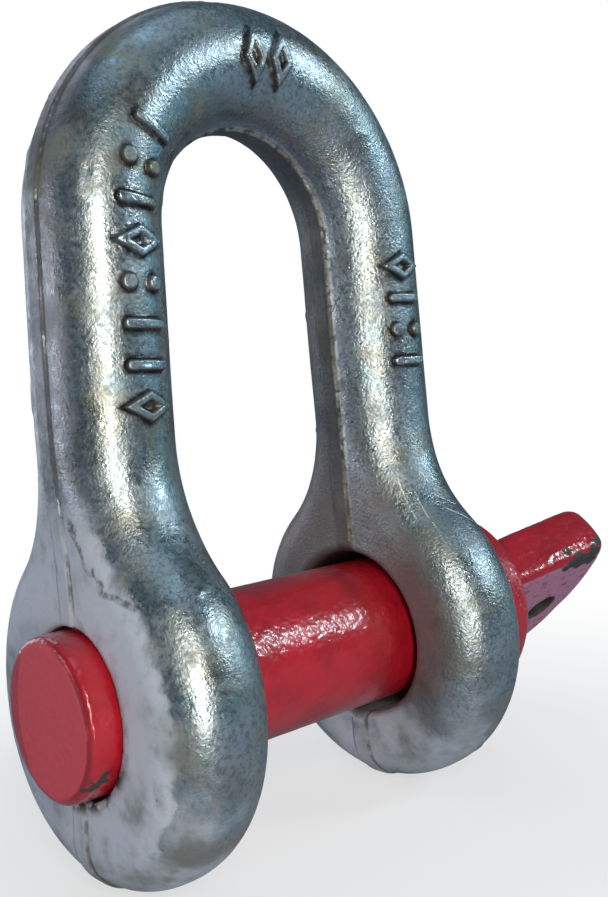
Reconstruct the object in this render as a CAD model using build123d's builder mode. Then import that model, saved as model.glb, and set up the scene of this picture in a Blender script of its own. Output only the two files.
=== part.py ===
from build123d import *
from math import cos, radians, sin, sqrt
import os

# A screw-pin dee shackle: a forged body with two ears, and a pin that screws into one of them.
# Millimetres. The origin is on the pin's axis, midway between the ears.
# +X runs along the pin towards its eye tab, and +Z runs from the pin to the crown.

# ---- forged body ----
BAR_WIDTH = 18.4              # along Y
BAR_THICKNESS = 17.0          # from the inside of the bow to the outside
BAR_EDGE_RADIUS = 7.4         # rounds the bar's section and the ears' rims
INSIDE_WIDTH = 34.0           # between the ears, at the pin
INSIDE_LENGTH = 76.4          # pin axis to the inside of the crown
LEG_LEAN = 1.4                # degrees that each leg leans in towards the crown
EAR_RADIUS = 24.4
EAR_THICKNESS = 15.6
NECK_RADIUS = 20.4            # hollow flank between a leg and its ear
SWELL_START = 14.0            # height above the pin where an ear starts to thicken
SWELL_END = 36.0              # height above the pin where the full bar begins
FLASH_WIDTH = 2.8             # trimmed forging flash round the middle plane
FLASH_HEIGHT = 0.4
FOOT_CHAMFER = 4.6            # trims the flash at the ears' lower corners
SEAT_DIAMETER = 33.0          # spot face under the pin's collar
SEAT_DEPTH = 0.5

# ---- screw pin ----
PIN_DIAMETER = 22.2
POINT_DIAMETER = 21.2         # plain end ahead of the thread
POINT_LENGTH = 3.8            # pin end beyond the tapped ear
POINT_CHAMFER = 0.6
THREAD_PITCH = 25.4 / 9       # nine threads to the inch
THREAD_TURNS = 5
THREAD_DEPTH = 1.55
THREAD_ROOT_WIDTH = 0.9 * THREAD_PITCH
THREAD_CREST_WIDTH = 0.18 * THREAD_PITCH
THREAD_OVERLAP = 0.2          # how far the ridge is let into its core
THREAD_INSET = 0.2            # from the tapped ear's face to the first turn
COLLAR_DIAMETER = 31.0
COLLAR_THICKNESS = 10.55
COLLAR_CHAMFER = 0.9
TAB_TWIST = 44.7              # degrees about the pin at which the tab stops when screwed home
TAB_THICKNESS = 9.9
TAB_ROOT_WIDTH = 16.0
TAB_END_WIDTH = 29.4
TAB_END_RADIUS = 27.0
TAB_CORNER_RADIUS = 2.6
TAB_LENGTH = 30.2             # collar to the tab's end
TAB_EDGE_RADIUS = 2.0
TAB_ROOT_RADIUS = 1.0         # blend between the tab and the collar
EYE_HOLE_DIAMETER = 6.2
EYE_HOLE_FROM_END = 8.6
EYE_HOLE_OFFSET = 2.4         # towards the tab's lower edge
EYE_HOLE_CHAMFER = 0.4

# ---- fits ----
THREAD_CLEARANCE = 0.06       # radial, round the thread's crests in the tapped ear
SHANK_CLEARANCE = 1.8         # radial, round the shank in the plain ear
MOUTH_CHAMFER = 0.8           # eases the plain hole's mouth inside the bow
COLLAR_GAP = 0.1

# ---- places worked out from the dimensions ----
lean = radians(LEG_LEAN)
outward = Vector(cos(lean), 0, sin(lean))
upward = Vector(-sin(lean), 0, cos(lean))
ear_foot = Vector(INSIDE_WIDTH / 2, 0, 0)
crown_height = (INSIDE_LENGTH - INSIDE_WIDTH / 2 * cos(lean)) / (1 - sin(lean))
leg_length = INSIDE_WIDTH / 2 * sin(lean) + crown_height * cos(lean)
ear_face = INSIDE_WIDTH / 2 + EAR_THICKNESS
seat_face = ear_face - SEAT_DEPTH
pin_radius = PIN_DIAMETER / 2
core_radius = pin_radius - THREAD_DEPTH
point_radius = POINT_DIAMETER / 2
collar_radius = COLLAR_DIAMETER / 2
point = -ear_face - POINT_LENGTH
thread_start = -ear_face + THREAD_INSET + THREAD_PITCH / 2
thread_end = thread_start + THREAD_TURNS * THREAD_PITCH
collar_start = seat_face + COLLAR_GAP
collar_end = collar_start + COLLAR_THICKNESS
tab_root = collar_end - COLLAR_CHAMFER
tab_end = collar_end + TAB_LENGTH
tab_shoulder = tab_end - TAB_END_RADIUS + sqrt(TAB_END_RADIUS**2 - TAB_END_WIDTH**2 / 4)

front_plane = Plane(origin=ear_foot, x_dir=(0, 1, 0), z_dir=outward)
side_plane = Plane(origin=ear_foot, x_dir=outward, z_dir=(0, -1, 0))
bar_plane = Plane(origin=ear_foot + upward * leg_length, x_dir=outward, z_dir=upward)
tab_plane = Plane.XY.rotated((-TAB_TWIST, 0, 0))
crown_axis = Axis((0, 0, crown_height), (0, -1, 0))
tab_axis = Axis((0, 0, 0), tab_plane.z_dir)


def leg_profile(bottom, grow=0.0, foot_chamfer=0.0):
    """Side outline of a leg and its ear: flat inside, thinner at the ear, outside swelling to the bar."""
    middle = (SWELL_START + SWELL_END) / 2
    at_ear = EAR_THICKNESS + grow
    at_bar = BAR_THICKNESS + grow
    with BuildSketch(side_plane) as profile:
        with BuildLine():
            Polyline(
                (at_ear, SWELL_START),
                (at_ear, bottom),
                (-grow, bottom),
                (-grow, leg_length),
                (at_bar, leg_length),
                (at_bar, SWELL_END),
            )
            Bezier((at_bar, SWELL_END), (at_bar, middle), (at_ear, middle), (at_ear, SWELL_START))
        make_face()
        if foot_chamfer:
            chamfer(profile.vertices().group_by(Axis.Y)[0], length=foot_chamfer)
    return profile.sketch


def is_rim(edge):
    """True for the edges that follow a leg's outline, false for those that run straight across it."""
    return edge.geom_type != GeomType.LINE or abs(edge.tangent_at(0.5).dot(upward)) > 0.5


# ---- forged body: two legs with their ears, joined by the crown ----
with BuildPart() as shackle_body:
    # one leg with its ear is the front outline crossed with the side outline, rims rounded
    with BuildSketch(front_plane) as front_outline:
        Circle(EAR_RADIUS)
        with Locations((0, leg_length / 2)):
            Rectangle(BAR_WIDTH, leg_length)
        fillet(front_outline.vertices().group_by(Axis.Y)[-2], radius=NECK_RADIUS)
    extrude(amount=2 * BAR_THICKNESS)
    extrude(leg_profile(-2 * EAR_RADIUS), amount=2 * EAR_RADIUS, both=True, mode=Mode.INTERSECT)
    fillet(shackle_body.edges().filter_by(is_rim), radius=BAR_EDGE_RADIUS)

    # trimmed flash down the inside and the outside of the leg and round the ear's foot
    flash = leg_profile(-EAR_RADIUS - FLASH_HEIGHT, grow=FLASH_HEIGHT, foot_chamfer=FOOT_CHAMFER)
    extrude(flash, amount=FLASH_WIDTH / 2, both=True)

    # the other leg, then the crown with its share of the flash
    mirror(about=Plane.YZ)
    with BuildSketch(bar_plane):
        with Locations((BAR_THICKNESS / 2, 0)):
            RectangleRounded(BAR_THICKNESS, BAR_WIDTH, BAR_EDGE_RADIUS)
            Rectangle(BAR_THICKNESS + 2 * FLASH_HEIGHT, FLASH_WIDTH)
    revolve(axis=crown_axis, revolution_arc=180 - 2 * LEG_LEAN)

    # the -X ear's hole is at the size of the thread's crests, and the +X ear's is plain
    for side, clearance in ((-1, THREAD_CLEARANCE), (1, SHANK_CLEARANCE)):
        with BuildSketch(Plane.YZ):
            Circle(pin_radius + clearance)
        extrude(amount=side * 2 * ear_face, mode=Mode.SUBTRACT)

    # eased mouth of the plain hole, inside the bow
    with BuildSketch(Plane.YZ.offset(INSIDE_WIDTH / 2 - FLASH_HEIGHT)):
        Circle(pin_radius + SHANK_CLEARANCE + MOUTH_CHAMFER + FLASH_HEIGHT)
    extrude(amount=MOUTH_CHAMFER + FLASH_HEIGHT, taper=45, mode=Mode.SUBTRACT)

    # spot face that seats the collar
    with BuildSketch(Plane.YZ.offset(seat_face)):
        Circle(SEAT_DIAMETER / 2)
    extrude(amount=BAR_THICKNESS, mode=Mode.SUBTRACT)
shackle_body.part.label = "shackle_body"

# ---- screw pin: turned shank and collar, thread, and a flattened eye tab ----
with BuildPart() as screw_pin:
    with BuildSketch(Plane.XZ):
        with BuildLine():
            Polyline(
                (point, 0),
                (point, point_radius - POINT_CHAMFER),
                (point + POINT_CHAMFER, point_radius),
                (thread_start, point_radius),
                (thread_start, core_radius),
                (thread_end, core_radius),
                (thread_end, pin_radius),
                (collar_start, pin_radius),
                (collar_start, collar_radius - COLLAR_CHAMFER),
                (collar_start + COLLAR_CHAMFER, collar_radius),
                (collar_end - COLLAR_CHAMFER, collar_radius),
                (collar_end, collar_radius - COLLAR_CHAMFER),
                (collar_end, 0),
                close=True,
            )
        make_face()
    revolve(axis=Axis.X)

    # single-start thread: a ridge wound round the core
    with BuildLine():
        helix = Helix(
            pitch=THREAD_PITCH,
            height=THREAD_TURNS * THREAD_PITCH,
            radius=core_radius,
            center=(thread_start, 0, 0),
            direction=(1, 0, 0),
        )
    with BuildSketch(Plane(origin=helix @ 0, x_dir=(1, 0, 0), z_dir=helix % 0)):
        with BuildLine():
            Polyline(
                (-THREAD_ROOT_WIDTH / 2, -THREAD_OVERLAP),
                (THREAD_ROOT_WIDTH / 2, -THREAD_OVERLAP),
                (THREAD_CREST_WIDTH / 2, THREAD_DEPTH),
                (-THREAD_CREST_WIDTH / 2, THREAD_DEPTH),
                close=True,
            )
        make_face()
    sweep(path=helix, is_frenet=True)

    # eye tab: widens from its root to a bowed end
    with BuildSketch(tab_plane) as tab_outline:
        with BuildLine():
            Polyline(
                (tab_shoulder, TAB_END_WIDTH / 2),
                (tab_root, TAB_ROOT_WIDTH / 2),
                (tab_root, -TAB_ROOT_WIDTH / 2),
                (tab_shoulder, -TAB_END_WIDTH / 2),
            )
            ThreePointArc((tab_shoulder, -TAB_END_WIDTH / 2), (tab_end, 0), (tab_shoulder, TAB_END_WIDTH / 2))
        make_face()
        fillet(tab_outline.vertices().group_by(Axis.X)[-1], radius=TAB_CORNER_RADIUS)
    extrude(amount=TAB_THICKNESS / 2, both=True)
    tab_edges = screw_pin.edges().filter_by_position(Axis.X, collar_end + TAB_ROOT_RADIUS, tab_end)
    fillet(tab_edges.filter_by(tab_axis, reverse=True), radius=TAB_EDGE_RADIUS)
    collar_end_face = screw_pin.faces().filter_by(Axis.X).sort_by(Axis.X)[-1]
    fillet(collar_end_face.inner_wires()[0].edges(), radius=TAB_ROOT_RADIUS)

    # eye hole through the tab
    with BuildSketch(tab_plane.offset(TAB_THICKNESS / 2)):
        with Locations((tab_end - EYE_HOLE_FROM_END, EYE_HOLE_OFFSET)):
            Circle(EYE_HOLE_DIAMETER / 2)
    extrude(amount=-TAB_THICKNESS, mode=Mode.SUBTRACT)
    chamfer(screw_pin.edges(Select.LAST).filter_by(GeomType.CIRCLE), length=EYE_HOLE_CHAMFER)
screw_pin.part.label = "screw_pin"

os.makedirs("parts", exist_ok=True)
for piece in (shackle_body, screw_pin):
    export_step(piece.part, f"parts/{piece.part.label}.step")
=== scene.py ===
import bmesh
import bpy
import itertools
import math
import numpy as np
from mathutils import Matrix, Vector


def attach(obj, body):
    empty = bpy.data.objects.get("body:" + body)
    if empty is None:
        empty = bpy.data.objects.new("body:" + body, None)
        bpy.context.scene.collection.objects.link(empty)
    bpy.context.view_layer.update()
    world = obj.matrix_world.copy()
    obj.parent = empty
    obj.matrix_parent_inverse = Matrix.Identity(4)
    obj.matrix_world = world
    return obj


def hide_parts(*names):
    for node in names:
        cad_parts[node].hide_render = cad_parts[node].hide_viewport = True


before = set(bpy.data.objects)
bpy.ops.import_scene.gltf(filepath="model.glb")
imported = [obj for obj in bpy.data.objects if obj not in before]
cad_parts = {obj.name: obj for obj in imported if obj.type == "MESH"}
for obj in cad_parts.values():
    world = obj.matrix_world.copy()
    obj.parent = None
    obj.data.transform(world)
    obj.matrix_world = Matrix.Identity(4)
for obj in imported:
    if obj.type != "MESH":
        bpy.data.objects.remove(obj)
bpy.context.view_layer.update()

# Lengths in this script are millimetres unless a name says metres; Blender's own units are metres.
MM = 0.001

# ---- the forged body, as the CAD model has it ----
BAR_WIDTH = 18.4
BAR_THICKNESS = 17.0
INSIDE_WIDTH = 34.0
INSIDE_LENGTH = 76.4
LEG_LEAN = math.radians(1.4)
EAR_RADIUS = 24.4
EAR_THICKNESS = 15.6
NECK_RADIUS = 20.4
SWELL_START = 14.0
SWELL_END = 36.0
FLASH_HALF_WIDTH = 1.4
FLASH_HEIGHT = 0.4
FOOT_CHAMFER = 4.6
SEAT_RADIUS = 16.5
SEAT_DEPTH = 0.5
TAPPED_HOLE_RADIUS = 11.16
PLAIN_HOLE_RADIUS = 12.9
MOUTH_CHAMFER = 0.8

# ---- the screw pin, as the CAD model has it ----
PIN_RADIUS = 11.1
POINT_RADIUS = 10.6
POINT_LENGTH = 3.8
THREAD_PITCH = 25.4 / 9
THREAD_TURNS = 5
THREAD_DEPTH = 1.55
THREAD_INSET = 0.2
COLLAR_RADIUS = 15.5
COLLAR_THICKNESS = 10.55
COLLAR_GAP = 0.1
TAB_TWIST = math.radians(-44.7)
TAB_THICKNESS = 9.9
TAB_ROOT_HALF_WIDTH = 8.0
TAB_END_HALF_WIDTH = 14.7
TAB_END_RADIUS = 27.0
TAB_LENGTH = 30.2
EYE_HOLE_RADIUS = 3.1
EYE_HOLE_FROM_END = 8.6
EYE_HOLE_OFFSET = 2.4

crown_height = (INSIDE_LENGTH - INSIDE_WIDTH / 2 * math.cos(LEG_LEAN)) / (1 - math.sin(LEG_LEAN))
crown_radius = INSIDE_LENGTH - crown_height
leg_length = INSIDE_WIDTH / 2 * math.sin(LEG_LEAN) + crown_height * math.cos(LEG_LEAN)
half_run = leg_length + (math.pi / 2 - LEG_LEAN) * (crown_radius + BAR_THICKNESS / 2)
ear_face = INSIDE_WIDTH / 2 + EAR_THICKNESS
seat_face = ear_face - SEAT_DEPTH
neck_offset = BAR_WIDTH / 2 + NECK_RADIUS
neck_height = math.sqrt((EAR_RADIUS + NECK_RADIUS) ** 2 - neck_offset ** 2)
point = -ear_face - POINT_LENGTH
thread_start = -ear_face + THREAD_INSET + THREAD_PITCH / 2
thread_end = thread_start + THREAD_TURNS * THREAD_PITCH
collar_start = seat_face + COLLAR_GAP
collar_end = collar_start + COLLAR_THICKNESS
tab_end = collar_end + TAB_LENGTH
tab_shoulder = tab_end - TAB_END_RADIUS + math.sqrt(TAB_END_RADIUS ** 2 - TAB_END_HALF_WIDTH ** 2)
splay = math.atan2(TAB_END_HALF_WIDTH - TAB_ROOT_HALF_WIDTH, tab_shoulder - collar_end)
floor_height = -EAR_RADIUS - FLASH_HEIGHT

# ---- edges and corners, softened as the photo shows them ----
EAR_EDGE_RADIUS = 7.3
BAR_EDGE_RADIUS = 8.4
FLASH_EDGE = 0.15
FLASH_EDGE_AT_FOOT = 0.5
FLASH_ROOT = 0.15
FOOT_EDGE = 1.2
FOOT_CORNER = 2.4
HOLE_EDGE = 0.5
MOUTH_START = -0.4            # where the plain hole's mouth begins and ends, in from the bow
MOUTH_END = 1.2
SEAT_WALL = 0.2
SEAT_EDGE = 0.3
POINT_EDGE = 1.0
POINT_JOIN = 0.2
POINT_OVERLAP = 1.0           # how far the shank reaches into the point
THREAD_RUN_IN = 1.2
THREAD_RUN_OUT = 1.5
GROOVE_TOP = 0.12             # the thread's flanks run between these parts of half a pitch
GROOVE_BOTTOM = 0.85
COLLAR_EDGE = 1.1
TAB_ROOT_INSET = 2.0          # how far inside the collar the tab starts
TAB_ROOT_FILLET = 1.6
TAB_CORNER = 1.6
TAB_EDGE_RADIUS = 2.4
TAB_EDGE_INSET = 0.4
TAB_FLAT_EDGE = 0.25
TAB_END_DOME = 1.0            # how far the end bulges out between the two flats
EYE_HOLE_EDGE = 0.7


# ---- numbers on points ----
def ease(value, low, high):
    """0 below low, 1 above high, smooth between."""
    t = np.clip((value - low) / (high - low), 0, 1)
    return t * t * (3 - 2 * t)


def smooth_min(a, b, radius):
    """The lesser of two distances, with the hollow between the two shapes filled over about that radius."""
    h = np.clip(radius - np.abs(a - b), 0, None)
    return np.minimum(a, b) - h * h / (4 * radius)


def smooth_max(a, b, radius):
    """The greater of two distances, with the edge between the two shapes softened in the same way."""
    return -smooth_min(-a, -b, radius)


def rounded_pair(a, b, radius):
    """Distance to the crossing of two distances, with its outer edge rounded to that radius."""
    qa, qb = a + radius, b + radius
    outside = np.hypot(np.maximum(qa, 0), np.maximum(qb, 0))
    return outside + np.minimum(np.maximum(qa, qb), 0) - radius


LATTICE = 32                  # cells along each side before the noise repeats


def noise(points, size, seed):
    """A smooth random field between about -1 and 1, with features of that size."""
    lattice = np.random.default_rng(seed).uniform(-1, 1, (LATTICE,) * 3)
    q = points / size
    cell = np.floor(q).astype(int)
    t = q - cell
    t = t * t * (3 - 2 * t)
    total = np.zeros(len(points))
    for corner in itertools.product((0, 1), repeat=3):
        weight = np.where(corner, t, 1 - t).prod(axis=1)
        total += weight * lattice[tuple(((cell + corner) % LATTICE).T)]
    return total


def layers(points, table):
    """The sum of several noises, each given as its height, size and seed."""
    return sum(height * noise(points, size, seed) for height, size, seed in table)


def round_pin(p):
    """Distance from the pin's axis."""
    return np.hypot(p[:, 1], p[:, 2])


# ---- the forged body's surface ----
def along_bar(p):
    """Distance along the bar from the pin's height, and depth from the inside of the bow."""
    x, z = np.abs(p[:, 0]), p[:, 2]
    up = z - crown_height
    turn = np.arctan2(up, x)
    on_crown = (turn > LEG_LEAN) & (up > 0)
    off = x - INSIDE_WIDTH / 2
    depth_leg = off * math.cos(LEG_LEAN) + z * math.sin(LEG_LEAN)
    s_leg = z * math.cos(LEG_LEAN) - off * math.sin(LEG_LEAN)
    middle = crown_radius + BAR_THICKNESS / 2
    depth = np.where(on_crown, np.hypot(x, up) - crown_radius, depth_leg)
    s = np.where(on_crown, leg_length + (turn - LEG_LEAN) * middle, s_leg)
    return s, depth


def front_outline(s, y):
    """Distance to the outline that the leg and its ear show from the side, negative inside."""
    ear = np.hypot(y, s) - EAR_RADIUS
    neck = NECK_RADIUS - np.hypot(y - neck_offset, s - neck_height)
    in_neck = (s * neck_offset > y * neck_height) & (s < neck_height)
    return np.where(s >= neck_height, y - BAR_WIDTH / 2, np.where(in_neck, neck, ear))


def flash_strip(p, s, sides):
    """Signed distance to the strip of trimmed flash on the mid-plane, worn rounder at the ears' feet."""
    foot = -s - EAR_RADIUS
    corner = (sides + foot - 2 * FLASH_HEIGHT + FOOT_CHAMFER) / math.sqrt(2)
    sheet = smooth_max(smooth_max(sides, foot, FOOT_EDGE) - FLASH_HEIGHT, corner, FOOT_CORNER)
    at_foot = ease(-s, EAR_RADIUS - 6, EAR_RADIUS - 2)
    edge = FLASH_EDGE + (FLASH_EDGE_AT_FOOT - FLASH_EDGE) * at_foot
    return smooth_max(np.abs(p[:, 1]) - FLASH_HALF_WIDTH, sheet, edge)


def body_surface(p):
    """Signed distance to the forged body, with its trimmed flash, its holes and the collar's seat."""
    s, depth = along_bar(p)
    swell = ease(s, SWELL_START, SWELL_END)
    half = (EAR_THICKNESS + (BAR_THICKNESS - EAR_THICKNESS) * swell) / 2
    sides = np.abs(depth - half) - half
    edge_radius = EAR_EDGE_RADIUS + (BAR_EDGE_RADIUS - EAR_EDGE_RADIUS) * swell
    plain = rounded_pair(front_outline(s, np.abs(p[:, 1])), sides, edge_radius)
    solid = smooth_min(plain, flash_strip(p, s, sides), FLASH_ROOT)
    around = round_pin(p)
    plain_hole = PLAIN_HOLE_RADIUS + MOUTH_CHAMFER * (1 - ease(depth, MOUTH_START, MOUTH_END))
    hole = np.where(p[:, 0] < 0, TAPPED_HOLE_RADIUS, plain_hole) - around
    seat = smooth_max(seat_face - p[:, 0], around - SEAT_RADIUS, SEAT_WALL)
    return smooth_max(smooth_max(solid, hole, HOLE_EDGE), -seat, SEAT_EDGE)


# ---- the pin's surface ----
def tab_axes(p):
    """The tab's own turned axes: v across its width and w through its thickness."""
    v = p[:, 1] * math.cos(TAB_TWIST) + p[:, 2] * math.sin(TAB_TWIST)
    w = p[:, 2] * math.cos(TAB_TWIST) - p[:, 1] * math.sin(TAB_TWIST)
    return v, w


def tab_surface(p):
    """Signed distance to the tab: round-edged, flat-faced, with a bowed end and its eye hole."""
    x = p[:, 0]
    v, w = tab_axes(p)
    dome = TAB_END_DOME * np.clip(1 - (2 * w / TAB_THICKNESS) ** 2, 0, 1)
    arc = np.hypot(x - tab_end + TAB_END_RADIUS, v) - TAB_END_RADIUS - dome
    side = (np.abs(v) - TAB_ROOT_HALF_WIDTH) * math.cos(splay) - (x - collar_end) * math.sin(splay)
    outline = np.maximum(smooth_max(arc, side, TAB_CORNER), collar_start + TAB_ROOT_INSET - x)
    flat = np.abs(w) - TAB_THICKNESS / 2
    rounded = rounded_pair(outline, flat - TAB_EDGE_INSET, TAB_EDGE_RADIUS)
    tab = smooth_max(rounded, flat, TAB_FLAT_EDGE)
    hole = EYE_HOLE_RADIUS - np.hypot(x - (tab_end - EYE_HOLE_FROM_END), v - EYE_HOLE_OFFSET)
    return smooth_max(tab, hole, EYE_HOLE_EDGE)


def shank_surface(p):
    """Signed distance to the shank, with the thread's grooves cut into it next to the point."""
    x = p[:, 0]
    phase = (x - thread_start) / THREAD_PITCH - np.arctan2(p[:, 2], p[:, 1]) / (2 * math.pi)
    saw = np.abs(phase - np.round(phase)) * 2
    run_in = ease(x, thread_start - THREAD_RUN_IN, thread_start)
    run_out = ease(x, thread_end - THREAD_RUN_OUT, thread_end)
    groove = THREAD_DEPTH * ease(saw, GROOVE_TOP, GROOVE_BOTTOM) * run_in * (1 - run_out)
    crest = POINT_RADIUS + (PIN_RADIUS - POINT_RADIUS) * run_in
    ends = np.maximum(x - ear_face, -ear_face - POINT_OVERLAP - x)
    return np.maximum(round_pin(p) - crest + groove, ends)


def pin_surface(p):
    """Signed distance to the screw pin: point, thread, shank, collar and tab."""
    x = p[:, 0]
    around = round_pin(p)
    nose = rounded_pair(around - POINT_RADIUS, point - x, POINT_EDGE)
    nose = np.maximum(nose, x - thread_start)
    middle = (collar_start + collar_end) / 2
    collar = rounded_pair(around - COLLAR_RADIUS, np.abs(x - middle) - COLLAR_THICKNESS / 2, COLLAR_EDGE)
    head = smooth_min(collar, tab_surface(p), TAB_ROOT_FILLET)
    return np.minimum(smooth_min(nose, shank_surface(p), POINT_JOIN), head)


# ---- raised marks: plain bars, lozenges and dots where a maker would put size marks ----
MARK_HEIGHT = 0.85
BAR_HALF_LENGTH = 2.9
BAR_HALF_STROKE = 0.65
BAR_CORNER = 0.6
LOZENGE_HALF_WIDTH = 1.4
LOZENGE_STEEPNESS = 1.6 / BAR_HALF_LENGTH
LOZENGE_HALF_STROKE = 0.5
DOT_RADIUS = 1.0
DOT_OFFSET = 1.9              # half the distance between the two dots
FAR_AWAY = 10.0               # stands for any distance out of a mark's reach
NEAR_LEG_MARKS = ["lozenge", "bar", "bar", "dots", "lozenge", "bar", "dots", "bar"]
CROWN_MARKS = ["lozenge", "lozenge"]
FAR_LEG_MARKS = ["lozenge", "bar", "dots", "bar"]


def row_of_marks(kinds, start, pitch, middle):
    """Marks one after another along the bar: kind, place along it, and offset across it."""
    return [(kind, start + pitch * i, middle) for i, kind in enumerate(kinds)]


marks = row_of_marks(NEAR_LEG_MARKS, start=38.0, pitch=5.1, middle=0.9)
marks += row_of_marks(CROWN_MARKS, start=half_run - 2.5, pitch=4.8, middle=0.6)
marks += row_of_marks(FAR_LEG_MARKS, start=2 * half_run - 56.4, pitch=4.8, middle=0.2)


def on_front(p):
    """Place on the bar's front: distance from the tapped ear, and distance across towards the inside."""
    s, depth = along_bar(p)
    run = np.where(p[:, 0] < 0, s, 2 * half_run - s)
    lean = np.arctan2(BAR_THICKNESS / 2 - depth, -p[:, 1])
    return run, lean * BAR_WIDTH / 2


def mark_shape(kind, a, b):
    """Distance to one mark's outline, from the distances along and across the bar to its middle."""
    if kind == "bar":
        return rounded_pair(a - BAR_HALF_STROKE, b - BAR_HALF_LENGTH, BAR_CORNER)
    if kind == "lozenge":
        side = (a - LOZENGE_HALF_WIDTH + b * LOZENGE_STEEPNESS) / math.hypot(1, LOZENGE_STEEPNESS)
        return np.abs(side) - LOZENGE_HALF_STROKE
    return np.hypot(a, b - DOT_OFFSET) - DOT_RADIUS


def mark_distance(p):
    """Distance to the nearest mark's outline, measured on the bar's front, negative inside."""
    run, across = on_front(p)
    nearest = np.full(len(p), FAR_AWAY)
    for kind, place, middle in marks:
        nearest = np.minimum(nearest, mark_shape(kind, np.abs(run - place), np.abs(across - middle)))
    return np.where(p[:, 1] < -1, nearest, FAR_AWAY)


# ---- reliefs: heights, sizes and seeds of the noises, and how high or deep each feature is ----
HAMMER_WAVES = [(0.13, 15, 1), (0.02, 5, 2)]
ZINC_GRAIN = [(0.010, 1.7, 3), (0.008, 0.9, 4)]
LUMP_HEIGHT = 0.15
PIT_DEPTH = 0.2
SMOOTHER_FLASH = 0.6          # how much of the roughness the flash lacks
HEAD_PAINT = [(0.07, 3.2, 11)]
THIN_PAINT = [(0.02, 1.1, 12)]
CHIP_DEPTH = 0.16
CHIP_REACH = 2.2


def body_relief(p):
    """How far the surface stands off the plain forging: hammer waves, zinc lumps, pits and marks."""
    clear = ease(round_pin(p), PLAIN_HOLE_RADIUS + 0.2, PLAIN_HOLE_RADIUS + 2.5)
    strip = 1 - ease(np.abs(p[:, 1]), FLASH_HALF_WIDTH - 0.2, FLASH_HALF_WIDTH + 0.4)
    lumps = LUMP_HEIGHT * ease(noise(p, 2.3, 5), 0.7, 0.98)
    pits = PIT_DEPTH * ease(noise(p, 1.5, 6), 0.7, 0.95) * ease(noise(p, 9, 7), 0, 0.6)
    rough = (1 - SMOOTHER_FLASH * strip) * (layers(p, ZINC_GRAIN) + lumps - pits)
    raised = MARK_HEIGHT * ease(-mark_distance(p), -0.3, 0.2)
    return clear * (layers(p, HAMMER_WAVES) + rough) + raised


def pin_relief(p):
    """Paint build-up, thicker on the head, and a chipped stretch of the tab's near arris."""
    x = p[:, 0]
    v, w = tab_axes(p)
    head = ease(x, collar_start, collar_start + 1)
    from_arris = np.hypot(v + TAB_END_HALF_WIDTH - 1.5, w + TAB_THICKNESS / 2) + noise(p, 2.2, 13)
    stretch = ease(x, tab_end - 18, tab_end - 16) * (1 - ease(x, tab_end - 5, tab_end - 3))
    chip = CHIP_DEPTH * ease(CHIP_REACH - from_arris, -0.2, 0.2) * stretch
    return layers(p, HEAD_PAINT) * head + layers(p, THIN_PAINT) - chip


# ---- meshes ----
BODY_VOXEL = 0.58
PIN_VOXEL = 0.5
SLOPE_STEP = 0.02
SETTLING_ROUNDS = 4


def slope_of(surface, p):
    """Direction in which the distance grows, at each point."""
    parts = []
    for axis in np.eye(3):
        parts.append(surface(p + SLOPE_STEP * axis) - surface(p - SLOPE_STEP * axis))
    g = np.stack(parts, axis=1) / (2 * SLOPE_STEP)
    return g / np.maximum(np.linalg.norm(g, axis=1, keepdims=True), 1e-6)


def points_of(mesh):
    """A mesh's points as rows of x, y and z."""
    co = np.empty(len(mesh.vertices) * 3, np.float32)
    mesh.vertices.foreach_get("co", co)
    return co.reshape(-1, 3).astype(float) / MM


def set_points(mesh, p):
    """Move a mesh's points to these places and shade it smooth."""
    mesh.vertices.foreach_set("co", (p * MM).astype(np.float32).ravel())
    mesh.polygons.foreach_set("use_smooth", [True] * len(mesh.polygons))
    mesh.update()


def split_finer(mesh, where):
    """Halve the edges whose middles the test picks."""
    bm = bmesh.new()
    bm.from_mesh(mesh)
    bm.edges.ensure_lookup_table()
    middles = np.array([(edge.verts[0].co + edge.verts[1].co) / (2 * MM) for edge in bm.edges])
    chosen = [bm.edges[i] for i in np.nonzero(where(middles))[0]]
    bmesh.ops.subdivide_edges(bm, edges=chosen, cuts=1, use_grid_fill=True)
    bm.to_mesh(mesh)
    bm.free()


def settle(mesh, surface, relief=None):
    """Draw a mesh's points onto a surface, then stand them off it by the relief."""
    p = points_of(mesh)
    for _ in range(SETTLING_ROUNDS):
        p -= slope_of(surface, p) * np.clip(surface(p), -1, 1)[:, None]
    if relief:
        p += slope_of(surface, p) * relief(p)[:, None]
    set_points(mesh, p)


def fine_mesh(name, node, voxel, surface, relief, details):
    """A remeshed copy of a CAD node, split finer where details say, drawn onto the surface with relief."""
    piece = bpy.data.objects.new(name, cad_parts[node].data.copy())
    bpy.context.scene.collection.objects.link(piece)
    remesh = piece.modifiers.new("remesh", "REMESH")
    remesh.mode = "VOXEL"
    remesh.voxel_size = voxel * MM
    mesh = bpy.data.meshes.new_from_object(piece.evaluated_get(bpy.context.evaluated_depsgraph_get()))
    piece.modifiers.clear()
    piece.data = mesh
    for where in details:
        settle(mesh, surface)
        split_finer(mesh, where)
    settle(mesh, surface, relief)
    mesh.materials.clear()
    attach(piece, node)
    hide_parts(node)
    return piece


def by_flash_or_mark(p):
    """Whether each point is within half a millimetre of the flash's sides or within a mark's reach."""
    return (np.abs(np.abs(p[:, 1]) - FLASH_HALF_WIDTH) < 0.5) | (mark_distance(p) < 0.5)


def by_mark_outline(p):
    """Whether each point is close to a mark's outline."""
    return np.abs(mark_distance(p)) < 0.4


def on_thread(p):
    """Whether each point is on the thread or next to it."""
    return (p[:, 0] < thread_end + 1) & (p[:, 0] > thread_start - 1.5)


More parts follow.
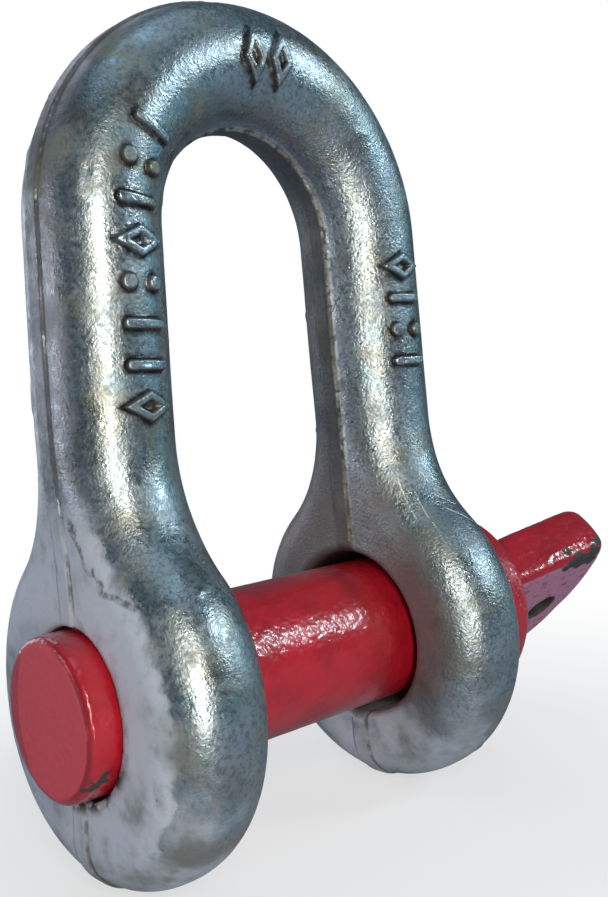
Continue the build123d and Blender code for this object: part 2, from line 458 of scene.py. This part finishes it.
def add_mark_foot(mesh):
    """A point attribute that is 1 along the feet of the raised marks, for the painted shadow there."""
    foot = 1 - ease(np.abs(mark_distance(points_of(mesh)) - 0.25), 0.1, 0.5)
    mesh.attributes.new("mark_foot", "FLOAT", "POINT").data.foreach_set("value", foot)


body_details = [by_flash_or_mark, by_mark_outline]
body = fine_mesh("forged_body", "shackle_body", BODY_VOXEL, body_surface, body_relief, body_details)
add_mark_foot(body.data)
pin = fine_mesh("red_screw_pin", "screw_pin", PIN_VOXEL, pin_surface, pin_relief, [on_thread])


# ---- node helpers ----
def add_node(tree, kind, **settings):
    """A new node with these settings."""
    node = tree.nodes.new(kind)
    for name, value in settings.items():
        setattr(node, name, value)
    return node


def feed(tree, socket, value):
    """Link a socket to another one, or set its value."""
    if isinstance(value, bpy.types.NodeSocket):
        tree.links.new(value, socket)
    else:
        socket.default_value = value


def opaque(colour):
    """A plain colour with its alpha added; a socket as it is."""
    return (*colour, 1) if isinstance(colour, tuple) else colour


class Coating:
    """A material in the making: its nodes, the place on the object in millimetres, and its colour so far."""

    def __init__(self, name, colour):
        self.material = bpy.data.materials.new(name)
        self.material.use_nodes = True
        self.tree = self.material.node_tree
        self.shader = self.tree.nodes["Principled BSDF"]
        metres = self.node("ShaderNodeTexCoord").outputs["Object"]
        place = self.node("ShaderNodeVectorMath", {0: metres, "Scale": 1 / MM}, operation="SCALE")
        self.place = place.outputs[0]
        self.x, self.y, self.z = self.node("ShaderNodeSeparateXYZ", {0: self.place}).outputs
        self.colour = colour

    def node(self, kind, inputs=None, **settings):
        """A new node with these inputs and settings."""
        made = add_node(self.tree, kind, **settings)
        for key, value in (inputs or {}).items():
            feed(self.tree, made.inputs[key], value)
        return made

    def combine(self, operation, a, b=0.0):
        """The result of a Math node."""
        return self.node("ShaderNodeMath", {0: a, 1: b}, operation=operation).outputs[0]

    def add(self, a, b):
        return self.combine("ADD", a, b)

    def less(self, a, b):
        """a less b."""
        return self.combine("SUBTRACT", a, b)

    def size(self, a):
        """The value without its sign."""
        return self.combine("ABSOLUTE", a)

    def times(self, first, *others):
        """The product of all the values."""
        for other in others:
            first = self.combine("MULTIPLY", first, other)
        return first

    def most(self, first, *others):
        """The greatest of the values."""
        for other in others:
            first = self.combine("MAXIMUM", first, other)
        return first

    def hypot(self, a, b):
        """The length of a line that spans a one way and b the other."""
        squares = [self.combine("POWER", self.size(side), 2.0) for side in (a, b)]
        return self.combine("SQRT", self.add(*squares))

    def step(self, value, low, high, start=0.0, end=1.0):
        """start where the value is at low, end where it is at high, smooth between; low may be above high."""
        inputs = dict(enumerate((value, low, high, start, end)))
        return self.node("ShaderNodeMapRange", inputs, interpolation_type="SMOOTHSTEP").outputs[0]

    def grain(self, size, detail=3.0, roughness=0.55):
        """Noise from 0 to 1 with features of that size."""
        inputs = {"Vector": self.place, "Scale": 1 / size, "Detail": detail, "Roughness": roughness}
        return self.node("ShaderNodeTexNoise", inputs).outputs["Fac"]

    def patches(self, size, low, high, start=0.0, end=1.0, detail=3.0, roughness=0.55):
        """Ragged patches of about that size: start where the noise is at low, end where it is at high."""
        return self.step(self.grain(size, detail, roughness), low, high, start, end)

    def side_distance(self, from_y=0.0, from_z=0.0):
        """Distance in the side view, the y-z plane, from a place there."""
        offsets = {1: self.less(self.y, from_y), 2: self.less(self.z, from_z)}
        across = self.node("ShaderNodeCombineXYZ", offsets).outputs[0]
        return self.node("ShaderNodeVectorMath", {0: across}, operation="LENGTH").outputs["Value"]

    def lines(self, across, height, ends, half_width):
        """1 along straight lines between pairs of places in a flat view, fading at their edges and ends."""
        total = 0.0
        for start, end in ends:
            run, rise = end[0] - start[0], end[1] - start[1]
            length = math.hypot(run, rise)
            off_a, off_h = self.less(across, start[0]), self.less(height, start[1])
            along = self.add(self.times(off_a, run / length), self.times(off_h, rise / length))
            aside = self.less(self.times(off_h, run / length), self.times(off_a, rise / length))
            line = self.step(self.size(aside), half_width, 0.3 * half_width)
            from_middle = self.size(self.less(along, length / 2))
            line = self.times(line, self.step(from_middle, length / 2, 0.3 * length))
            total = self.most(total, line)
        return total

    def bump(self, height, depth, strength, under=None):
        """A bumped surface direction, laid on another one if that is given."""
        inputs = {"Height": height, "Distance": depth * MM, "Strength": strength}
        if under is not None:
            inputs["Normal"] = under
        return self.node("ShaderNodeBump", inputs).outputs[0]

    def tint(self, amount, colour):
        """Turn the colour so far to this one as the amount goes to 1."""
        inputs = {"Factor": amount, "A": opaque(self.colour), "B": opaque(colour)}
        self.colour = self.node("ShaderNodeMix", inputs, data_type="RGBA").outputs["Result"]

    def finish(self, inputs):
        """Give the shader its colour and its other inputs."""
        for name, value in {"Base Color": opaque(self.colour), **inputs}.items():
            feed(self.tree, self.shader.inputs[name], value)
        return self.material


# ---- galvanised steel ----
ZINC = (0.48, 0.535, 0.57)
ZINC_DARK = (0.22, 0.27, 0.30)
ZINC_BROWN = (0.36, 0.34, 0.27)
TEAL_SKY_REFLECTION = (0.30, 0.45, 0.50)
ZINC_MATTE = (0.62, 0.66, 0.76)
# painted sheen on the bar's outer flank
MAUVE_SHEEN = (0.40, 0.40, 0.46)
STAIN = (0.135, 0.13, 0.09)
# dark pits and the fold, and the painted shade beside the flash
PIT_AND_SHADE = (0.045, 0.04, 0.04)
# the trimmed flash's own dark brown, and the painted shade inside the bow
BROWN_AND_SHADE = (0.05, 0.047, 0.047)
CHEEK = (0.28, 0.24, 0.23)
# bright scratched metal, and the painted highlight on the flash's edge inside the bow
BRIGHT = (0.85, 0.85, 0.80)
HOLE_DIRT = (0.05, 0.035, 0.025)
# painted shadow at the feet of the raised marks
MARK_SHADOW = (0.06, 0.05, 0.045)
# the ends of a fold's three stretches, as y and z in the side view
FOLD = [
    ((-2.2, 25.5), (-5.6, 19.2)),
    ((-4.4, 20.6), (-9.8, 15.4)),
    ((-8.2, 16.4), (-15.6, 14.5)),
]
FOLD_HALF_WIDTH = 0.6
# the ends of the scratches, as x and z in the front view
SCRATCHES = [
    ((21.5, 21.0), (28.5, 16.5)),
    ((22.5, 22.2), (27.0, 19.4)),
    ((19.6, 25.0), (19.0, 17.5)),
    ((20.8, 22.5), (20.2, 16.5)),
    ((23.0, 25.5), (24.8, 20.5)),
]
SCRATCH_HALF_WIDTH = 0.16


def zinc_ground(coat):
    """Cloudy zinc, with brown tints, teal patches of painted sky reflection and a sandy grain."""
    coat.tint(coat.patches(13.0, 0.40, 0.72, end=0.6, detail=4.0), ZINC_DARK)
    coat.tint(coat.patches(5.5, 0.45, 0.70, end=0.75, detail=4.0, roughness=0.6), ZINC_BROWN)
    # teal patches: a painted reflection of the blue sky
    coat.tint(coat.patches(7.5, 0.42, 0.30, end=0.6, roughness=0.5), TEAL_SKY_REFLECTION)
    coat.tint(coat.patches(0.6, 0.47, 0.62, end=0.75, roughness=0.65), ZINC_DARK)


def shade_inside_bow(coat, from_middle):
    """Painted shade, dark brown, inside the bow behind the flash, with a painted highlight along the flash's
    edge.
    """
    inside = coat.step(from_middle, 20.0, 17.6, end=0.8)
    inside_shade = coat.times(inside, coat.step(coat.z, -12.0, -4.0), coat.step(coat.y, -2.0, -1.4))
    # painted shade inside the bow
    coat.tint(inside_shade, BROWN_AND_SHADE)
    edge = coat.step(coat.size(coat.add(coat.y, 1.9)), 0.75, 0.2)
    edge = coat.times(edge, inside, coat.step(coat.z, 6.0, 20.0), coat.patches(1.3, 0.36, 0.52, detail=2.0))
    # painted highlight along the flash's edge
    coat.tint(edge, BRIGHT)
    return inside_shade


def brown_cheeks(coat):
    """The ears' inner faces, browner and darker."""
    cheek = coat.step(coat.size(coat.x), 18.6, 17.3, end=0.6)
    cheek = coat.times(cheek, coat.step(coat.z, 32.0, 18.0), coat.step(coat.z, -15.0, -5.0))
    coat.tint(cheek, CHEEK)
    return cheek


def mauve_sheen_flank(coat, from_middle):
    """The bar's outer side above the ears, matt, with a mauve painted sheen."""
    flank_sheen = coat.times(coat.step(from_middle, 31.0, 32.6, end=0.75), coat.step(coat.z, 28.0, 40.0))
    flank_sheen = coat.times(flank_sheen, coat.patches(2.5, 0.36, 0.52, start=0.35, detail=4.0, roughness=0.65))
    # painted sheen, mauve
    coat.tint(flank_sheen, MAUVE_SHEEN)
    return flank_sheen


def dull_ears(coat, ragged):
    """Dull pale zinc on the ears' outer faces and low on the ears."""
    outer = coat.times(coat.step(ragged, ear_face - 1.7, ear_face - 0.4), coat.step(coat.z, 32.0, 20.0))
    low = coat.step(coat.add(coat.z, coat.patches(9.0, 0.2, 0.8, start=-5.0, end=5.0)), -3.0, -22.0)
    dull = coat.times(coat.most(outer, low), coat.patches(4.0, 0.25, 0.5, start=0.55, detail=4.0))
    coat.tint(dull, ZINC_MATTE)
    return dull


def olive_stain(coat, ragged):
    """Olive stain, mostly low on the ears, round their outer rims and on the near leg's upper half."""
    out = coat.size(coat.x)
    low = coat.step(coat.z, 25.0, -24.0, end=0.10)
    patch = coat.step(coat.side_distance(-17.5, -11.5), 7.5, 2.0, end=0.17)
    patch = coat.times(patch, coat.step(out, ear_face - 1.0, ear_face - 2.5), coat.step(out, 19.5, 22.5))
    upper_leg = coat.times(coat.step(coat.z, 46.0, 62.0, end=0.11), coat.step(coat.x, -14.0, -20.0))
    rim = coat.step(ragged, ear_face - 4.5, ear_face - 2.5, end=0.10)
    rim = coat.times(rim, coat.step(ragged, ear_face - 0.2, ear_face - 1.2), coat.step(coat.z, 32.0, 20.0))
    likely = coat.add(coat.add(coat.grain(8.0, 5.0, 0.6), low), coat.most(patch, upper_leg, rim))
    stain = coat.step(likely, 0.54, 0.80, end=0.7)
    coat.tint(stain, STAIN)
    return stain


def dark_pits(coat):
    """Small dark pits, scattered."""
    coat.tint(coat.patches(1.2, 0.76, 0.84, end=0.5, detail=2.0), PIT_AND_SHADE)


def dark_fold(coat):
    """A dark fold that runs from the near leg down to the tapped ear's rim."""
    wavy = coat.add(coat.y, coat.patches(3.0, 0.3, 0.7, start=-0.9, end=0.9))
    fold = coat.lines(wavy, coat.z, FOLD, FOLD_HALF_WIDTH)
    fold = coat.times(fold, coat.step(coat.x, -ear_face + 3.0, -ear_face + 1.5))
    fold = coat.times(fold, coat.patches(1.5, 0.36, 0.58, start=0.25, end=0.75))
    coat.tint(fold, PIT_AND_SHADE)
    return fold


def hole_dirt(coat):
    """Brown dirt round the lower rim of the tapped hole."""
    rim = coat.times(coat.step(coat.side_distance(), 13.2, 11.4), coat.step(coat.z, 4.0, -6.0))
    rim = coat.times(rim, coat.step(coat.x, -28.0, -30.0), coat.patches(2.0, 0.40, 0.58, detail=4.0))
    coat.tint(rim, HOLE_DIRT)
    return rim


def shade_beside_flash(coat):
    """Painted shade: darker lines in the corners beside the flash."""
    beside = coat.size(coat.less(coat.size(coat.y), FLASH_HALF_WIDTH + 0.15))
    beside_flash_shade = coat.times(coat.step(beside, 0.42, 0.08, end=0.75), coat.patches(2.5, 0.35, 0.6, start=0.3))
    # painted shade in the corners beside the flash
    coat.tint(beside_flash_shade, PIT_AND_SHADE)
    return beside_flash_shade


def mark_shadow(coat):
    """Painted shadow along the feet of the raised marks."""
    foot = coat.node("ShaderNodeAttribute", attribute_name="mark_foot").outputs["Fac"]
    # painted shadow
    coat.tint(coat.times(foot, coat.patches(2.2, 0.35, 0.55, start=0.55)), MARK_SHADOW)


def brown_flash(coat, dull):
    """The trimmed flash, rougher and browner than the rest, but less so where the zinc is dull."""
    strip = coat.step(coat.size(coat.y), FLASH_HALF_WIDTH + 0.1, FLASH_HALF_WIDTH - 0.1, end=0.35)
    strip = coat.times(strip, coat.patches(3.0, 0.35, 0.6, start=0.3), coat.step(dull, 1.0, 0.0, start=0.35))
    coat.tint(strip, BROWN_AND_SHADE)
    return strip


def bright_scratches(coat):
    """Bright scratches above the plain ear, on the front only."""
    scratches = coat.lines(coat.x, coat.z, SCRATCHES, SCRATCH_HALF_WIDTH)
    scratches = coat.times(scratches, coat.step(coat.y, -2.0, -4.0))
    scratches = coat.times(scratches, coat.patches(0.9, 0.35, 0.50, detail=2.0))
    coat.tint(scratches, BRIGHT)
    return scratches


def zinc_roughness(coat, worn):
    """Duller where it is worn, with a fine grain and broad cloudiness."""
    fine = coat.patches(0.7, 0.3, 0.7, start=0.23, end=0.37, roughness=0.6)
    gloss = coat.add(fine, coat.step(worn, 0.0, 1.0, end=0.28))
    return coat.add(gloss, coat.patches(6.5, 0.42, 0.66, end=0.17))


def zinc_grain(coat, lines):
    """Surface direction: a coarse and a fine grain, stronger towards the plain ear, and sunken lines."""
    grainy = coat.step(coat.x, -12.0, 16.0, 0.45, 0.85)
    coarse = coat.bump(coat.grain(1.1, roughness=0.6), 0.11, grainy)
    sunken = coat.bump(lines, -0.06, 1.0, coarse)
    return coat.bump(coat.grain(0.36, 2.0, 0.6), 0.13, grainy, sunken)


def galvanised_steel():
    coat = Coating("galvanised_steel", ZINC)
    from_middle = coat.hypot(coat.x, coat.most(coat.less(coat.z, crown_height), 0.0))
    ragged = coat.add(coat.size(coat.x), coat.patches(2.0, 0.3, 0.7, start=-0.35, end=0.35, detail=4.0))
    zinc_ground(coat)
    inside_shade = shade_inside_bow(coat, from_middle)
    cheek = brown_cheeks(coat)
    flank_sheen = mauve_sheen_flank(coat, from_middle)
    dull = dull_ears(coat, ragged)
    stain = olive_stain(coat, ragged)
    dark_pits(coat)
    fold = dark_fold(coat)
    rim = hole_dirt(coat)
    beside_flash_shade = shade_beside_flash(coat)
    mark_shadow(coat)
    strip = brown_flash(coat, dull)
    scratches = bright_scratches(coat)
    browned = coat.times(coat.most(inside_shade, strip, cheek, flank_sheen), 0.6)
    worn = coat.most(dull, stain, beside_flash_shade, rim, browned)
    return coat.finish({
        "Metallic": coat.step(worn, 0.0, 1.0, 0.97, 0.10),
        "Roughness": zinc_roughness(coat, worn),
        "Normal": zinc_grain(coat, coat.most(scratches, fold)),
    })


# ---- red paint ----
RED = (0.56, 0.010, 0.025)
RED_DEEP = (0.28, 0.006, 0.015)
# painted sheen on the point's end face
RED_SHEEN = (0.72, 0.076, 0.106)
# painted sheen on the tab's flats
PINK_SHEEN = (0.68, 0.28, 0.43)
# bare metal at the chips, and painted shade in the eye hole
BARE_AND_SHADE = (0.055, 0.055, 0.05)
STEEL = (0.42, 0.40, 0.38)
HALF_TAB = TAB_THICKNESS / 2


def sheen_end_face(coat, around):
    """The point's end face, a pale pink painted sheen up to a rim that is wider on the far side."""
    off_centre = coat.add(around, coat.step(coat.y, 4.0, 9.0, end=3.0))
    face = coat.times(coat.step(coat.x, point + 0.25, point + 0.08), coat.step(off_centre, 10.3, 9.6))
    # painted sheen
    coat.tint(face, RED_SHEEN)
    return face


def sheen_flats(coat, w):
    """The tab's flats, a pale pink painted sheen, with scuffs."""
    flat = coat.step(coat.size(w), HALF_TAB - 0.25, HALF_TAB - 0.05)
    flat = coat.times(flat, coat.step(coat.x, collar_end + 0.6, collar_end + 1.4))
    # painted sheen
    coat.tint(flat, PINK_SHEEN)
    coat.tint(coat.times(flat, coat.patches(1.8, 0.54, 0.64, end=0.55, detail=4.0, roughness=0.65)), RED_DEEP)
    return flat


def dark_face_ring(coat, around):
    """A dark line round the front half of the end face."""
    ring = coat.step(coat.size(coat.less(around, 9.9)), 0.6, 0.15)
    ring = coat.times(ring, coat.step(coat.y, -1.0, -6.0, end=0.85))
    ring = coat.times(ring, coat.step(coat.x, point + 0.9, point + 0.6))
    ring = coat.times(ring, coat.patches(2.5, 0.35, 0.50, start=0.3))
    coat.tint(ring, RED_DEEP)


def paint_chips(coat, v, w):
    """Bare metal along the tab's near arris, at one place on the point's rim and in stray flecks."""
    arris = coat.times(coat.step(w, -HALF_TAB + 3.6, -HALF_TAB + 1.2), coat.step(v, -8.5, -10.5))
    arris = coat.times(arris, coat.step(coat.x, tab_end - 17.0, tab_end - 12.5))
    arris = coat.times(arris, coat.step(coat.x, tab_end - 3.0, tab_end - 6.0, start=0.6))
    knocked = coat.step(coat.side_distance(-8.6, -6.6), 4.0, 1.5, end=0.12)
    knocked = coat.times(knocked, coat.step(coat.x, -ear_face + 0.4, -ear_face - 0.4))
    likely = coat.add(coat.add(coat.grain(2.6), coat.times(arris, 0.30)), knocked)
    return coat.step(likely, 0.72, 0.75)


def shaded_eye_hole(coat, v):
    """Painted shade in the eye hole and round its rim."""
    from_eye = coat.hypot(coat.less(coat.x, tab_end - EYE_HOLE_FROM_END), coat.less(v, EYE_HOLE_OFFSET))
    eye = coat.step(from_eye, EYE_HOLE_RADIUS + 0.55, EYE_HOLE_RADIUS + 0.15)
    return coat.times(eye, coat.step(coat.x, collar_end + 1.0, collar_end + 3.0))


def worn_crests(coat, around):
    """The thread's crests, worn through to the steel."""
    crest = coat.step(around, PIN_RADIUS - 0.45, PIN_RADIUS - 0.15)
    crest = coat.times(crest, coat.step(coat.x, thread_start - 0.5, thread_start + 0.5))
    crest = coat.times(crest, coat.step(coat.x, thread_end + 0.5, thread_end - 1.5))
    crest = coat.times(crest, coat.patches(2.0, 0.36, 0.52))
    coat.tint(crest, STEEL)
    return crest


def red_paint():
    coat = Coating("red_paint", RED)
    around = coat.side_distance()
    v = coat.add(coat.times(coat.y, math.cos(TAB_TWIST)), coat.times(coat.z, math.sin(TAB_TWIST)))
    w = coat.less(coat.times(coat.z, math.cos(TAB_TWIST)), coat.times(coat.y, math.sin(TAB_TWIST)))
    coat.tint(coat.patches(6.0, 0.35, 0.75, end=0.6), RED_DEEP)
    face = sheen_end_face(coat, around)
    flat = sheen_flats(coat, w)
    dark_face_ring(coat, around)
    chip = coat.most(paint_chips(coat, v, w), shaded_eye_hole(coat, v))
    # bare metal at the chips, painted shade in the eye hole
    coat.tint(chip, BARE_AND_SHADE)
    crest = worn_crests(coat, around)
    dull = coat.most(face, flat, chip)
    peel = coat.bump(coat.grain(1.2, 1.0), 0.22, 0.6)
    return coat.finish({
        "Metallic": crest,
        "Roughness": coat.step(dull, 0.0, 1.0, 0.32, 0.6),
        "Coat Weight": coat.step(dull, 0.0, 1.0, 0.7, 0.0),
        "Coat Roughness": 0.08,
        "Normal": peel,
        "Coat Normal": coat.bump(coat.grain(0.8, 1.0), 0.16, 0.7, peel),
    })


# ---- floor ----
FLOOR_RADIUS_METRES = 4.0
FLOOR_SEEN = (0.9, 0.91, 0.92)
FLOOR_REFLECTED = (0.45, 0.48, 0.54)


def pale_floor():
    """A matt floor that fades to plain white away from the object."""
    coat = Coating("pale_floor", FLOOR_REFLECTED)
    seen = coat.node("ShaderNodeLightPath").outputs["Is Camera Ray"]
    coat.tint(seen, FLOOR_SEEN)
    away = coat.node("ShaderNodeVectorMath", {0: coat.place}, operation="LENGTH").outputs["Value"]
    fade = coat.times(seen, coat.step(away, 20.0, 170.0, start=0.62))
    glow = coat.node("ShaderNodeEmission", {"Color": (1, 1, 1, 1)})
    mixed = coat.node("ShaderNodeMixShader", {0: fade, 1: coat.shader.outputs[0], 2: glow.outputs[0]})
    feed(coat.tree, coat.tree.nodes["Material Output"].inputs["Surface"], mixed.outputs[0])
    return coat.finish({"Roughness": 0.9})


def add_floor():
    mesh = bpy.data.meshes.new("floor")
    bm = bmesh.new()
    bmesh.ops.create_circle(bm, cap_ends=True, segments=64, radius=FLOOR_RADIUS_METRES)
    bm.to_mesh(mesh)
    bm.free()
    floor = bpy.data.objects.new("floor", mesh)
    floor.location.z = floor_height * MM
    bpy.context.scene.collection.objects.link(floor)
    mesh.materials.append(pale_floor())


# ---- lights and room ----
# name, azimuth and elevation in degrees, distance and size in metres, power in watts, colour
LIGHTS = [
    ("warm_window", -31, 6, 0.235, (0.024, 0.2), 0.36, (1.0, 0.94, 0.80)),
    ("high_window", 44, 27, 0.7, (0.08, 0.16), 1.15, (0.76, 0.92, 1.0)),
    ("sky", 62, 12, 0.8, (0.10, 0.40), 0.28, (0.35, 0.78, 0.95)),
    ("top", -20, 84, 0.7, (0.45, 0.45), 0.62, (0.62, 0.85, 1.0)),
    ("left_wall", -122, 2, 0.8, (0.16, 0.55), 1.05, (0.95, 0.94, 1.0)),
    ("back_left", -168, 4, 0.9, (0.5, 0.6), 1.5, (0.90, 0.92, 1.0)),
    ("back_high", 176, 42, 0.9, (0.5, 0.3), 0.6, (0.90, 0.90, 1.0)),
]
LIGHT_AIM_METRES = Vector((0, 0, 0.03))
ROOM_COLOUR = (0.15, 0.215, 0.27, 1)
ROOM_STRENGTH = 0.47


def direction(azimuth, elevation):
    """Unit vector from the object towards a place seen at that azimuth and elevation, in degrees."""
    a, e = math.radians(azimuth), math.radians(elevation)
    return Vector((math.sin(a) * math.cos(e), -math.cos(a) * math.cos(e), math.sin(e)))


def add_light(name, azimuth, elevation, distance_metres, size_metres, power, colour):
    data = bpy.data.lights.new(name, "AREA")
    data.shape = "RECTANGLE"
    data.size, data.size_y = size_metres
    data.energy = power
    data.color = colour
    light = bpy.data.objects.new(name, data)
    bpy.context.scene.collection.objects.link(light)
    back = direction(azimuth, elevation)
    light.location = LIGHT_AIM_METRES + back * distance_metres
    light.rotation_euler = back.to_track_quat("Z", "Y").to_euler()


def add_world():
    """A dim blue-grey room for reflections, behind a plain white backdrop."""
    world = bpy.data.worlds.new("studio")
    world.use_nodes = True
    tree = world.node_tree
    room = tree.nodes["Background"]
    room.inputs["Color"].default_value = ROOM_COLOUR
    room.inputs["Strength"].default_value = ROOM_STRENGTH
    backdrop = add_node(tree, "ShaderNodeBackground")
    backdrop.inputs["Color"].default_value = (1, 1, 1, 1)
    mixed = add_node(tree, "ShaderNodeMixShader")
    feed(tree, mixed.inputs[0], add_node(tree, "ShaderNodeLightPath").outputs["Is Camera Ray"])
    feed(tree, mixed.inputs[1], room.outputs[0])
    feed(tree, mixed.inputs[2], backdrop.outputs[0])
    feed(tree, tree.nodes["World Output"].inputs["Surface"], mixed.outputs[0])
    bpy.context.scene.world = world


# ---- camera, at the photo's angle ----
CAMERA_AZIMUTH = -41.76
CAMERA_ELEVATION = 3.21
CAMERA_ROLL = -4.19
CAMERA_DISTANCE = 158.7
CAMERA_AIM = Vector((9.66, 0, 29.92))
LENS = 41.9
CLIP_START_METRES = 0.01


def add_camera():
    back = direction(CAMERA_AZIMUTH, CAMERA_ELEVATION)
    right = Vector((0, 0, 1)).cross(back).normalized()
    level = Matrix((right, back.cross(right), back)).transposed().to_4x4()
    data = bpy.data.cameras.new("camera")
    data.lens = LENS
    data.clip_start = CLIP_START_METRES
    camera = bpy.data.objects.new("camera", data)
    bpy.context.scene.collection.objects.link(camera)
    place = Matrix.Translation((CAMERA_AIM + back * CAMERA_DISTANCE) * MM)
    camera.matrix_world = place @ level @ Matrix.Rotation(math.radians(CAMERA_ROLL), 4, "Z")
    bpy.context.scene.camera = camera


body.data.materials.append(galvanised_steel())
pin.data.materials.append(red_paint())
add_floor()
for light in LIGHTS:
    add_light(*light)
add_world()
add_camera()
bpy.context.scene.view_settings.view_transform = "Standard"
